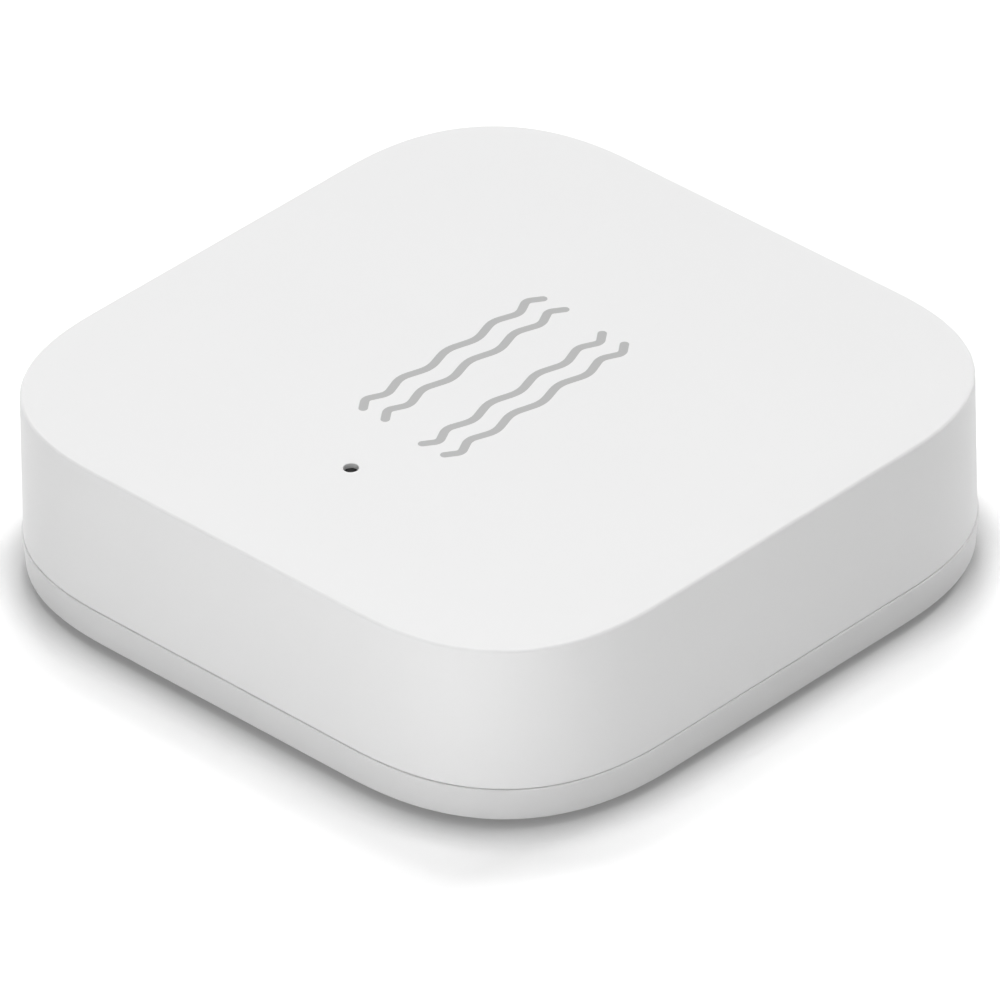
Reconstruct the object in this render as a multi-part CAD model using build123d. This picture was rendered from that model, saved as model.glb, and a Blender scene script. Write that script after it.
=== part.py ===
from build123d import *
import math
import os

# Vibration sensor tag: a square puck with soft corners that sticks to a flat surface.
# Millimetres. Z is up. The origin is the middle of the tape's lower face, so z = 0 is
# the surface that the tag is stuck to. The wavy marks run along Y, and the
# indicator hole is on the -Y side of them.

# Outer shape. The tag is as wide and as high as what it holds, which comes to 50.0 mm
# across the seam and 13.3 mm. Half widths are from the middle to a straight side, and a
# corner's size is how far from the sharp corner its curve starts.
seam_corner = 14.4
cover_side_inset = 0.4
cover_corner_inset = 0.9
seam_height = 3.05
seam_gap = 0.09
top_edge_radius = 0.2
skirt_inset = 0.05
skirt_corner_offset = 0.4
skirt_edge_radius = 0.2
foot_height = 0.3
foot_chamfer_height = 0.42
foot_chamfer_width = 0.75
corner_handle_share = 0.688

# Walls
cover_wall = 1.5
cover_top_wall = 1.6
base_floor_thickness = 1.2
lip_wall = 1.0
lip_height = 1.6
lip_clearance = 0.1

# Adhesive tape in its shallow pocket; its width is the narrowest, beside the door
tape_thickness = 0.8
tape_width = 5.93
tape_inset = 1.27
tape_clearance = 0.1

# Wavy marks on the top, measured along each line from its middle vertex
mark_width = 0.6
mark_depth = 0.05
mark_wave_offset = 0.345
mark_tail_offset = 0.29
mark_step_lengths = [2.2, 2.1, 1.85, 1.35, 0.87]
mark_bend_share = 0.3
mark_pair_spacing = 1.9
mark_pair_offset = 3.07
mark_pair_shift = 0.245
mark_offset_x = -0.52
mark_offset_y = 0.24
mark_turn_degrees = 1.0

# Indicator
hole_radius = 0.5
hole_side_distance = 11.7
led_size = [1.6, 0.8, 0.6]
guide_radius = 1.2
guide_gap = 0.15
guide_clearance = 0.05
guide_pin_clearance = 0.02
guide_pin_recess = 0.35
guide_boss_wall = 0.8

# Coin cell, a CR2450
cell_radius = 12.25
cell_height = 5.0
cell_clearance = 0.25
cell_can_wall = 0.3
cell_shoulder_width = 1.85
cell_cap_height = 1.6
cell_cap_wall = 0.25
cell_gasket_wall = 0.5
cell_cap_proud_height = 0.2
cell_separator_thickness = 0.15

# Battery door: a flange in a counterbore, and three lugs that turn in over a ledge
door_cell_gap = 0.3
door_flange_thickness = 0.8
door_flange_rim_width = 0.7
door_recess_depth = 0.1
door_land_width = 2.5
door_running_gap = 0.05
door_radial_gap = 0.1
lug_length = 1.25
lug_thickness = 0.6
lug_count = 3
lug_degrees = 20.0
lug_play_degrees = 2.0
lug_stop_degrees = 2.4
lug_stop_gap_degrees = 0.6
door_turn_degrees = 30.0
ledge_thickness = 0.7
coin_slot_length = 14.0
coin_slot_width = 2.0
coin_slot_depth = 1.0
pad_border_width = 3.45
pad_thickness = 0.55
pad_recess = 0.5
pad_clearance = 0.1
index_mark_depth = 0.15
index_mark_radius = 0.6
index_ring_wall = 0.25
index_mark_gap = 0.6

# Battery cup in the base
cup_wall = 1.0
cup_board_gap = 0.3
lug_room_wall = 1.1
lug_room_roof_thickness = 0.75
cup_slot_width = 5.0

# Circuit board
board_edge_gap = 1.75
board_thickness = 0.8
board_cell_gap = 0.95
board_room_height = 2.2
boss_inset = 6.0
boss_radius = 2.2
rib_thickness = 1.0
rib_height = 3.6

# Board screws
screw_radius = 0.8
screw_length = 4.5
screw_head_radius = 1.5
screw_head_height = 0.8
screw_clearance = 0.15
screw_thread_gap = 0.02
screw_tip_gap = 0.5
screw_drive_radius = 0.45
screw_drive_depth = 0.45

# Snap hooks, one on each side
hook_width = 6.0
hook_height = 2.2
hook_nose_depth = 0.5
hook_catch_height = 0.35
hook_clearance = 0.15
pocket_depth = 0.75

# Reset button in the hidden +Y side, and its switch
button_length = 6.0
button_height = 2.0
button_clearance = 0.12
button_proud_height = 0.15
button_edge_radius = 0.15
button_flange_thickness = 0.6
button_flange_rim_width = 0.3
button_flange_gap = 0.1
button_travel = 0.3
button_touch_gap = 0.02
nub_radius = 0.7
nub_length = 0.8
switch_width = 4.4
switch_depth = 3.2
switch_height = 1.6
switch_frame_wall = 0.15
plunger_width = 2.0
plunger_height = 0.9
plunger_clearance = 0.08
plunger_out_length = 0.7
plunger_in_length = 1.4
dome_thickness = 0.1
dome_gap = 0.03
switch_foot_length = 0.5

# Parts on the board: length along X, length along Y, height
radio_chip_size = [6.0, 6.0, 0.85]
crystal_size = [2.5, 2.0, 0.6]
radio_can_wall = 0.2
radio_can_side_gap = 2.3
radio_can_end_gap = 1.5
radio_can_head_gap = 0.45
memory_size = [4.9, 3.9, 1.4]
memory_pin_width = 0.4
memory_pin_length = 0.9
memory_pin_height = 0.25
memory_pin_pitch = 1.27
accelerometer_size = [2.0, 2.0, 0.9]
capacitor_size = [3.5, 2.8, 1.6]
passive_size = [1.0, 0.5, 0.5]
pad_dot_radius = 0.6
copper_thickness = 0.05
antenna_line_width = 0.6
antenna_width = 3.0
antenna_pitch = 1.5
antenna_turns = 5
antenna_edge_gap = 0.9
test_pad_pitch = 2.2
test_pad_screw_gap = 1.4
test_pad_count = 5

# Places on the board as shares of its half width
radio_can_shares = (0.36, 0.2)
memory_shares = (-0.4, 0.3)
accelerometer_shares = (-0.2, -0.08)
capacitor_shares = (-0.52, -0.2)
antenna_share = 0.08
passives_shares = [
    (-0.28, 0.52),
    (-0.42, 0.52),
    (-0.56, 0.52),
    (-0.05, 0.44),
    (-0.05, 0.3),
    (-0.05, 0.16),
    (-0.33, -0.08),
    (-0.2, -0.22),
    (0.14, -0.3),
    (0.28, -0.3),
    (0.42, -0.3),
    (0.14, -0.62),
    (0.28, -0.62),
    (0.3, 0.76),
]

# Contact springs under the board
contact_thickness = 0.2
contact_width = 4.0
minus_contact_width = 3.2
minus_foot_length = 3.5
minus_foot_cap_gap = 0.9
plus_foot_length = 3.0
contact_gap = 0.02

# Length by which every cutting shape runs past what it cuts
overrun = 1.0

# Heights worked out from the values above, from the foot to the top
pocket_z = tape_thickness
floor_z = pocket_z + base_floor_thickness
base_rim_z = seam_height - seam_gap
skirt_z = foot_height + foot_chamfer_height
lip_z = seam_height + lip_height
hook_flat_z = lip_z + hook_catch_height
hook_top_z = lip_z + hook_height
door_z = foot_height + door_recess_depth
flange_top_z = door_z + door_flange_thickness
ledge_z = flange_top_z + door_running_gap
ledge_top_z = ledge_z + ledge_thickness
lug_z = ledge_top_z + door_running_gap
plug_top_z = lug_z + lug_thickness
lug_roof_z = plug_top_z + door_running_gap
pad_z = plug_top_z - pad_recess
cell_z = pad_z + pad_thickness + pad_clearance
cell_top_z = cell_z + cell_height
board_z = cell_top_z + board_cell_gap
board_top_z = board_z + board_thickness
cup_top_z = board_z - cup_board_gap
ceiling_z = board_top_z + board_room_height
tag_height = ceiling_z + cover_top_wall
led_top_z = board_top_z + led_size[2]
guide_z = led_top_z + guide_gap
button_z = board_top_z + switch_height / 2

# Radii worked out from the values above, around the door's axis
ledge_radius = cell_radius + door_cell_gap
door_plug_radius = ledge_radius - door_radial_gap
lug_radius = door_plug_radius + lug_length
door_flange_radius = lug_radius + door_flange_rim_width
notch_radius = lug_radius + door_radial_gap
lug_room_radius = notch_radius + door_running_gap
counterbore_radius = door_flange_radius + door_radial_gap
cup_radius = cell_radius + cell_clearance
cup_outer_radius = cup_radius + cup_wall
lug_room_outer_radius = lug_room_radius + lug_room_wall
tape_hole_radius = counterbore_radius + door_land_width
tape_half = tape_hole_radius + tape_width
foot_half = tape_half + tape_inset
skirt_half = foot_half + foot_chamfer_width
tag_half = skirt_half + skirt_inset
index_radius = counterbore_radius + index_mark_gap + index_mark_radius
pad_radius = door_plug_radius - pad_border_width
cell_inner_radius = cell_radius - cell_can_wall
cell_cap_radius = cell_radius - cell_shoulder_width
guide_bore_radius = guide_radius + guide_clearance


def cover_share(z):
    """How far up the cover's drafted side a height is."""
    return (z - seam_height) / (tag_height - seam_height)


def cover_half(z):
    """Half width of the cover's outer side at a height."""
    return tag_half - cover_side_inset * cover_share(z)


def cover_corner(z):
    """Corner size of the cover's outer side at a height."""
    return seam_corner - cover_corner_inset * cover_share(z)


# Half widths, corner sizes and places worked out from the outer shape
skirt_corner = seam_corner + skirt_corner_offset
foot_corner = skirt_corner - foot_chamfer_width
tape_corner = foot_corner - tape_inset
lip_half = cover_half(lip_z) - cover_wall - lip_clearance
lip_corner = cover_corner(lip_z) - cover_wall - lip_clearance
board_half = cover_half(board_top_z) - cover_wall - board_edge_gap
board_corner = cover_corner(board_top_z) - cover_wall - board_edge_gap
boss_place = board_half - boss_inset
hole_y = hole_side_distance - tag_half
button_flange_top_z = button_z + button_height / 2 + button_flange_rim_width
flange_face_y = cover_half(button_flange_top_z) - cover_wall - button_flange_gap
button_back_y = flange_face_y - button_flange_thickness
switch_face_y = button_back_y - nub_length - plunger_out_length


def rounded_square(half, corner):
    """Face with straight sides and one curve for each soft corner."""
    straight = half - corner
    handle = straight + corner * corner_handle_share
    edges = []
    for turn in range(4):
        side = Line((half, -straight), (half, straight))
        bend = Bezier((half, straight), (half, handle), (handle, half), (straight, half))
        edges.append(Rot(0, 0, 90 * turn) * side)
        edges.append(Rot(0, 0, 90 * turn) * bend)
    return make_face(edges)


def soft_block(half, corner, z_low, z_high):
    """Straight block with the tag's plan shape."""
    return Pos(0, 0, z_low) * extrude(rounded_square(half, corner), z_high - z_low)


def drafted_block(inset, z_low, z_high):
    """Block that follows the cover's drafted sides, set in by a wall."""
    faces = []
    for z in (z_low, z_high):
        face = rounded_square(cover_half(z) - inset, cover_corner(z) - inset)
        faces.append(Pos(0, 0, z) * face)
    return loft(faces, ruled=True)


def disc(radius, z_low, z_high):
    """Upright cylinder between two heights, on the door's axis."""
    return Pos(0, 0, z_low) * extrude(Circle(radius), z_high - z_low)


def ring(inner, outer, z_low, z_high):
    """Upright tube between two heights, on the door's axis."""
    return disc(outer, z_low, z_high) - disc(inner, z_low - overrun, z_high + overrun)


def sector(inner, outer, z_low, z_high, start, end):
    """Part of a ring between two angles."""
    reach = outer / math.cos(math.radians((end - start) / 2)) + overrun
    near = (reach * math.cos(math.radians(start)), reach * math.sin(math.radians(start)))
    far = (reach * math.cos(math.radians(end)), reach * math.sin(math.radians(end)))
    wedge = extrude(make_face(Polyline((0, 0), near, far, close=True)), z_high - z_low)
    return ring(inner, outer, z_low, z_high) & (Pos(0, 0, z_low) * wedge)


def rod(radius, x, y, z_low, z_high):
    """Upright cylinder between two heights, at a place of its own."""
    return Pos(x, y, 0) * disc(radius, z_low, z_high)


def block(size, x, y, z):
    """Box whose lower face is centred on a point."""
    return Pos(x, y, z) * Box(*size, align=(Align.CENTER, Align.CENTER, Align.MIN))


def on_board(shares):
    """Place on the board's top, from shares of its half width."""
    return (shares[0] * board_half, shares[1] * board_half, board_top_z)


def bend_radius(before, corner, after):
    """Radius that rounds a corner off by the bend share of its shorter run."""
    first = Vector(*corner) - Vector(*before)
    second = Vector(*after) - Vector(*corner)
    half_turn = math.radians(first.get_angle(second)) / 2
    return mark_bend_share * min(first.length, second.length) / math.tan(half_turn)


def wavy_line():
    """Flat zigzag with rounded bends, round ends and even width."""
    ups = [0]
    for step in mark_step_lengths:
        ups.append(ups[-1] + step)
    ys = [-up for up in reversed(ups[1:])] + ups
    middle = len(mark_step_lengths)
    offsets = [mark_tail_offset] + [mark_wave_offset] * (len(ys) - 2) + [mark_tail_offset]
    points = []
    for index, (y, offset_x) in enumerate(zip(ys, offsets)):
        sign = 1 if (index - middle) % 2 else -1
        points.append((sign * offset_x, y))
    radii = [bend_radius(*points[index:index + 3]) for index in range(len(points) - 2)]
    path = FilletPolyline(*points, radius=radii)
    return make_face(offset(path, amount=mark_width / 2, side=Side.BOTH).edges())


def make_wave_marks(extra):
    """Two pairs of wavy lines, the second turned half round; extra raises the tops."""
    line = extrude(wavy_line(), mark_depth + extra)
    near = mark_pair_offset - mark_pair_spacing / 2
    far = mark_pair_offset + mark_pair_spacing / 2
    marks = []
    for turn in (0, 180):
        for place in (near, far):
            marks.append(Rot(0, 0, turn) * Pos(-place, mark_pair_shift, 0) * line)
    group = Pos(mark_offset_x, mark_offset_y, tag_height - mark_depth)
    return Compound(children=[group * Rot(0, 0, mark_turn_degrees) * mark for mark in marks])


def pill(length, height, depth, y_back):
    """Lying rod of pill section in the XZ plane, running along +Y from y_back."""
    face = Plane.XZ * SlotOverall(length, height)
    return Pos(0, y_back, button_z) * extrude(face, depth, dir=(0, 1, 0))


def four_sides():
    """Quarter turns that repeat what is on the +Y side, or in the +X +Y corner."""
    return [Rot(0, 0, 90 * turn) for turn in range(4)]


def make_top_cover():
    """Outer shell with its top, snap pockets, button opening and indicator hole."""
    shell = drafted_block(0, seam_height, tag_height)
    shell = fillet(shell.edges().group_by(Axis.Z)[-1], top_edge_radius)
    shell -= drafted_block(cover_wall, seam_height - overrun, ceiling_z)
    shell += rod(guide_bore_radius + guide_boss_wall, 0, hole_y, guide_z, ceiling_z)
    shell -= rod(guide_bore_radius, 0, hole_y, guide_z, ceiling_z)
    shell -= rod(hole_radius, 0, hole_y, ceiling_z, tag_height)
    pocket_z_low = hook_flat_z - hook_clearance
    pocket_z_high = hook_top_z + hook_clearance
    pocket_size = [hook_width + 2 * hook_clearance, pocket_depth + overrun,
                   pocket_z_high - pocket_z_low]
    pocket_y = cover_half(lip_z) - cover_wall + pocket_depth - pocket_size[1] / 2
    for side in four_sides():
        shell -= side * block(pocket_size, 0, pocket_y, pocket_z_low)
    opening = pill(button_length + 2 * button_clearance, button_height + 2 * button_clearance,
                   tag_half, 0)
    shell -= opening
    for mark in make_wave_marks(overrun).children:
        shell -= mark
    return shell


def make_hook():
    """Springy arm on the +Y side with a nose that catches in the cover's pocket."""
    front = lip_half
    back = front - lip_wall
    arm_points = [
        (back, floor_z),
        (back, hook_top_z),
        (front, hook_top_z),
        (front + hook_nose_depth, hook_flat_z),
        (front, hook_flat_z),
        (front, floor_z),
    ]
    profile = Plane.YZ * make_face(Polyline(*arm_points, close=True))
    return Pos(-hook_width / 2, 0, 0) * extrude(profile, hook_width, dir=(1, 0, 0))


def make_skirt():
    """Outside of the base: a wide chamfer round the foot, then an almost upright skirt."""
    faces = [
        Pos(0, 0, foot_height) * rounded_square(foot_half, foot_corner),
        Pos(0, 0, skirt_z) * rounded_square(skirt_half, skirt_corner),
        Pos(0, 0, base_rim_z) * rounded_square(tag_half, seam_corner),
    ]
    skirt = loft(faces, ruled=True)
    return fillet(skirt.edges().group_by(Axis.Z)[-1], skirt_edge_radius)


def make_base_cover():
    """Base with its skirt, lip, hooks, board bosses, battery cup and door ledge."""
    base = make_skirt()
    base += soft_block(lip_half, lip_corner, floor_z, lip_z)
    base -= soft_block(lip_half - lip_wall, lip_corner - lip_wall, floor_z, lip_z + overrun)
    pocket = soft_block(tape_half + tape_clearance, tape_corner + tape_clearance, 0, pocket_z)
    base -= pocket - disc(tape_hole_radius - tape_clearance, 0, pocket_z)
    for side in four_sides():
        base += side * make_hook()
    base += disc(lug_room_outer_radius, floor_z, lug_roof_z + lug_room_roof_thickness)
    base += disc(cup_outer_radius, floor_z, cup_top_z)
    for side in four_sides():
        base += side * make_board_boss()
    base -= disc(counterbore_radius, 0, ledge_z)
    base -= disc(ledge_radius, 0, lug_roof_z)
    base -= disc(lug_room_radius, ledge_top_z, lug_roof_z)
    base -= disc(cup_radius, lug_roof_z - overrun, cup_top_z + overrun)
    for index in range(lug_count):
        base += make_lug_stop(index)
        base -= make_ledge_notch(index)
    slot_size = [cup_outer_radius, cup_slot_width, cup_top_z]
    slot_z = lug_roof_z + lug_room_roof_thickness
    base -= block(slot_size, -cup_outer_radius + cup_wall / 2, 0, slot_z)
    return base - make_index_marks()


def make_board_boss():
    """Post under one corner of the board, tied to the cup by a rib."""
    rib_start = cup_radius + cup_wall / 2
    rib_end = boss_place * math.sqrt(2)
    rib_size = [rib_end - rib_start, rib_thickness, rib_height]
    rib = Rot(0, 0, 45) * block(rib_size, (rib_start + rib_end) / 2, 0, floor_z)
    post = rod(boss_radius, boss_place, boss_place, floor_z, board_z)
    pilot_z = board_top_z - screw_length - screw_tip_gap
    pilot = rod(screw_radius + screw_thread_gap, boss_place, boss_place, pilot_z, board_z)
    return rib + post - pilot


def lug_angle(index):
    """Middle of one lug while the door is locked."""
    return 90 + 360 / lug_count * index


def make_lug_stop(index):
    """Two ribs that stop a lug at its locked and its open angle."""
    locked_edge = lug_angle(index) + lug_degrees / 2 + lug_stop_gap_degrees
    open_edge = lug_angle(index) - door_turn_degrees - lug_degrees / 2 - lug_stop_gap_degrees
    inner = lug_radius - lug_length / 2
    outer = lug_room_radius + lug_room_wall / 2
    locked = sector(inner, outer, ledge_top_z, lug_roof_z, locked_edge,
                    locked_edge + lug_stop_degrees)
    opened = sector(inner, outer, ledge_top_z, lug_roof_z, open_edge - lug_stop_degrees,
                    open_edge)
    return locked + opened


def make_ledge_notch(index):
    """Gap in the ledge that a lug passes when the door is open."""
    middle = lug_angle(index) - door_turn_degrees
    half = lug_degrees / 2 + lug_play_degrees
    inner = door_plug_radius - lug_length
    return sector(inner, notch_radius, ledge_z - overrun, ledge_top_z, middle - half, middle + half)


def make_index_marks():
    """Sunk dot where the door is locked and sunk circle where it is open."""
    mark_top = foot_height + index_mark_depth
    mark = rod(index_mark_radius, index_radius, 0, foot_height, mark_top)
    core = rod(index_mark_radius - index_ring_wall, index_radius, 0, foot_height, mark_top)
    locked = Rot(0, 0, -90) * mark
    opened = Rot(0, 0, -90 - door_turn_degrees) * (mark - core)
    return locked + opened


def make_adhesive_tape():
    """Foam tape with the base's outline and a round hole for the battery door."""
    tape = soft_block(tape_half, tape_corner, 0, tape_thickness)
    return tape - disc(tape_hole_radius, 0, tape_thickness)


def make_battery_door():
    """Round door with a coin slot, a pad recess and three locking lugs."""
    door = disc(door_flange_radius, door_z, flange_top_z)
    door += disc(door_plug_radius, door_z, plug_top_z)
    for index in range(lug_count):
        start = lug_angle(index) - lug_degrees / 2
        door += sector(door_plug_radius - lug_length, lug_radius, lug_z, plug_top_z, start,
                       start + lug_degrees)
    door -= disc(pad_radius, pad_z, plug_top_z)
    slot = extrude(SlotOverall(coin_slot_length, coin_slot_width), coin_slot_depth)
    door -= Pos(0, 0, door_z) * slot
    tip = door_flange_radius - index_mark_gap
    heel = tip - 2 * index_mark_radius
    points = [(0, -tip), (index_mark_radius, -heel), (-index_mark_radius, -heel)]
    arrow = extrude(make_face(Polyline(*points, close=True)), index_mark_depth)
    return door - Pos(0, 0, door_z) * arrow


def make_door_pad():
    """Foam disc in the door that keeps the cell from rattling."""
    return disc(pad_radius, pad_z, pad_z + pad_thickness)


def make_cell_can():
    """Steel can of the cell, its flat positive face down and its rim rolled in."""
    top = cell_top_z - cell_cap_proud_height
    can = disc(cell_radius, cell_z, top)
    can -= disc(cell_inner_radius, cell_z + cell_can_wall, top)
    rolled_rim = ring(cell_cap_radius + cell_gasket_wall, cell_inner_radius + cell_can_wall / 2,
                      top - cell_can_wall, top)
    return can + rolled_rim


def make_cell_gasket():
    """Plastic ring that seals and insulates the cap from the can."""
    top = cell_top_z - cell_cap_proud_height
    low = top - cell_cap_height
    neck = ring(cell_cap_radius, cell_cap_radius + cell_gasket_wall, low, top)
    return neck + ring(cell_cap_radius, cell_inner_radius, low, top - cell_can_wall)


def make_cell_cap():
    """Negative cap, a shallow steel cup with its flat face up."""
    low = cell_top_z - cell_cap_proud_height - cell_cap_height
    cap = disc(cell_cap_radius, low, cell_top_z)
    cap = fillet(cap.edges().group_by(Axis.Z)[-1], cell_cap_proud_height / 2)
    return cap - disc(cell_cap_radius - cell_cap_wall, low, cell_top_z - cell_cap_wall)


def make_cell_anode():
    """Lithium disc that fills the cap down to the separator."""
    low = cell_top_z - cell_cap_proud_height - cell_cap_height + cell_separator_thickness
    return disc(cell_cap_radius - cell_cap_wall, low, cell_top_z - cell_cap_wall)


def make_cell_separator():
    """Thin disc between the lithium and the cathode pellet."""
    low = cell_top_z - cell_cap_proud_height - cell_cap_height
    return disc(cell_cap_radius - cell_cap_wall, low, low + cell_separator_thickness)


def make_cell_cathode():
    """Pressed pellet that fills the can up to the cap and gasket."""
    high = cell_top_z - cell_cap_proud_height - cell_cap_height
    return disc(cell_inner_radius, cell_z + cell_can_wall, high)


def make_circuit_board():
    """Board with the tag's plan shape and four screw holes."""
    board = soft_block(board_half, board_corner, board_z, board_top_z)
    hole = rod(screw_radius + screw_clearance, boss_place, boss_place, board_z, board_top_z)
    for side in four_sides():
        board -= side * hole
    return board


def make_board_screws():
    """Four short screws that hold the board on its bosses."""
    head = extrude(Circle(screw_head_radius), screw_head_height)
    head = fillet(head.edges().group_by(Axis.Z)[-1], screw_head_height / 4)
    drive = extrude(RegularPolygon(screw_drive_radius, 6), screw_drive_depth)
    head -= Pos(0, 0, screw_head_height - screw_drive_depth) * drive
    shank = Pos(0, 0, -screw_length) * extrude(Circle(screw_radius), screw_length)
    shank = chamfer(shank.edges().group_by(Axis.Z)[0], screw_radius / 2)
    screw = head + shank
    place = Pos(boss_place, boss_place, board_top_z)
    return Compound(children=[side * place * screw for side in four_sides()])


def radio_can_room():
    """Space inside the shield can: the chip and the crystal in a row, with gaps around."""
    return [
        radio_chip_size[0] + 2 * radio_can_side_gap,
        radio_chip_size[1] + crystal_size[1] + 3 * radio_can_end_gap,
        radio_chip_size[2] + radio_can_head_gap,
    ]


def make_radio_shield_can():
    """Thin metal lid over the radio parts, open towards the board."""
    room = radio_can_room()
    outside = [room[0] + 2 * radio_can_wall, room[1] + 2 * radio_can_wall, room[2] + radio_can_wall]
    can = block(outside, *on_board(radio_can_shares))
    can = fillet(can.edges().filter_by(Axis.Z), radio_can_wall * 2)
    return can - block(room, *on_board(radio_can_shares))


def make_radio_chip():
    """Radio chip at the -Y end of the shield can."""
    x, y, z = on_board(radio_can_shares)
    low_end = y - radio_can_room()[1] / 2
    return block(radio_chip_size, x, low_end + radio_can_end_gap + radio_chip_size[1] / 2, z)


def make_radio_crystal():
    """Crystal at the +Y end of the shield can."""
    x, y, z = on_board(radio_can_shares)
    high_end = y + radio_can_room()[1] / 2
    return block(crystal_size, x, high_end - radio_can_end_gap - crystal_size[1] / 2, z)


def make_memory_chip():
    """Small flash memory with four legs on each side."""
    x, y, z = on_board(memory_shares)
    body_gap = memory_pin_height / 2
    chip = block([memory_size[0], memory_size[1], memory_size[2] - body_gap], x, y, z + body_gap)
    pin_y = memory_size[1] / 2 + memory_pin_length / 2
    pin_size = [memory_pin_width, memory_pin_length, memory_pin_height]
    for sign in (-1, 1):
        for index in range(4):
            pin_x = (index - 1.5) * memory_pin_pitch
            chip += block(pin_size, x + pin_x, y + sign * pin_y, z)
    return chip


def make_small_passives():
    """Chip resistors and capacitors soldered to the board."""
    return Compound(children=[block(passive_size, *on_board(shares)) for shares in passives_shares])


def make_antenna_trace():
    """Copper antenna that winds to and fro along the board's +X edge."""
    x = board_half - antenna_edge_gap - antenna_width / 2
    y = board_half * antenna_share
    points = []
    for index in range(2 * antenna_turns):
        sign = -1 if (index // 2) % 2 else 1
        step = (index + 1) // 2
        points.append((x + sign * antenna_width / 2, y + (step - antenna_turns / 2) * antenna_pitch))
    trace_face = trace(Polyline(*points), antenna_line_width)
    return Pos(0, 0, board_top_z) * extrude(trace_face, copper_thickness)


def make_test_pads():
    """Row of round copper pads used to load and test the board."""
    first_x = -boss_place + screw_head_radius + test_pad_screw_gap + pad_dot_radius
    dots = []
    for index in range(test_pad_count):
        x = first_x + index * test_pad_pitch
        dots.append(rod(pad_dot_radius, x, -boss_place, board_top_z, board_top_z + copper_thickness))
    return Compound(children=dots)


def make_light_guide():
    """Smoked rod above the indicator, with a thin pin that stands in the cover's hole."""
    body = rod(guide_radius, 0, hole_y, guide_z, ceiling_z)
    pin_radius = hole_radius - guide_pin_clearance
    return body + rod(pin_radius, 0, hole_y, ceiling_z, tag_height - guide_pin_recess)


def make_negative_contact():
    """Leaf spring soldered under the board that bears on the middle of the cell's cap."""
    foot_z = board_z - contact_thickness / 2
    tip_z = cell_top_z + contact_gap + contact_thickness / 2
    foot_end = cell_cap_radius - minus_foot_cap_gap
    points = [
        (foot_end, foot_z),
        (foot_end - minus_foot_length, foot_z),
        (contact_thickness * 4, tip_z),
        (-contact_thickness * 4, tip_z),
        (-minus_contact_width / 2, tip_z + contact_thickness),
    ]
    return leaf(points, minus_contact_width)


def make_positive_contact():
    """Leaf spring in the cup's slot that bears on the side of the cell's can."""
    leg_x = cup_radius + cup_wall / 2
    bow_x = cell_radius + contact_gap + contact_thickness / 2
    slot_z = lug_roof_z + lug_room_roof_thickness
    foot_z = board_z - contact_thickness / 2
    bow_z = (cell_z + cell_top_z) / 2
    points = [
        (-leg_x - plus_foot_length, foot_z),
        (-leg_x, foot_z),
        (-leg_x, cell_top_z),
        (-bow_x, bow_z + contact_thickness * 2),
        (-bow_x, bow_z - contact_thickness * 2),
        (-leg_x, slot_z + contact_thickness),
    ]
    return leaf(points, contact_width)


def leaf(points, width):
    """Strip of even thickness bent along a line in the XZ plane."""
    line = Polyline(*points)
    strip = make_face(offset(line, amount=contact_thickness / 2, side=Side.BOTH).edges())
    return Pos(0, width / 2, 0) * extrude(Plane.XZ * strip, width, dir=(0, -1, 0))


def make_reset_button():
    """Pill shaped button with a keeper flange inside the cover and a nub behind it."""
    face_y = cover_half(button_z) + button_proud_height
    body = pill(button_length, button_height, face_y - button_back_y, button_back_y)
    body = fillet(body.edges().group_by(Axis.Y)[-1], button_edge_radius)
    rim = 2 * button_flange_rim_width
    body += pill(button_length + rim, button_height + rim, button_flange_thickness, button_back_y)
    nub = extrude(Plane.XZ * Circle(nub_radius), nub_length, dir=(0, 1, 0))
    return body + Pos(0, button_back_y - nub_length, button_z) * nub


def make_switch_plunger():
    """Tongue of the switch that the button pushes."""
    front = switch_face_y + plunger_out_length - button_touch_gap
    size = [plunger_width, plunger_out_length + plunger_in_length, plunger_height]
    low = button_z - plunger_height / 2
    return block(size, 0, front - size[1] / 2, low)


def make_switch_body():
    """Switch housing with the channel that the plunger slides in."""
    body = block([switch_width, switch_depth, switch_height], 0,
                 switch_face_y - switch_depth / 2, board_top_z)
    channel_depth = plunger_in_length + button_travel + dome_gap + dome_thickness + button_touch_gap
    channel = [plunger_width + 2 * plunger_clearance, channel_depth + overrun,
               plunger_height + 2 * plunger_clearance]
    middle = switch_face_y - channel_depth + channel[1] / 2
    return body - block(channel, 0, middle, button_z - channel[2] / 2)


def make_switch_frame():
    """Metal strap over the switch, with a foot on each side."""
    depth = switch_depth / 2
    y = switch_face_y - switch_depth / 2
    wide = switch_width + 2 * switch_frame_wall
    strap = block([wide, depth, switch_height + switch_frame_wall], 0, y, board_top_z)
    strap -= block([switch_width, depth, switch_height], 0, y, board_top_z)
    for sign in (-1, 1):
        foot_x = sign * (wide / 2 + switch_foot_length / 2)
        strap += block([switch_foot_length, depth, switch_frame_wall], foot_x, y, board_top_z)
    return strap


def make_switch_dome():
    """Snap dome behind the plunger, drawn pressed in."""
    back = switch_face_y - button_touch_gap - plunger_in_length - button_travel - dome_gap
    size = [plunger_width, dome_thickness, plunger_height]
    return block(size, 0, back - dome_thickness / 2, button_z - plunger_height / 2)


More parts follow.
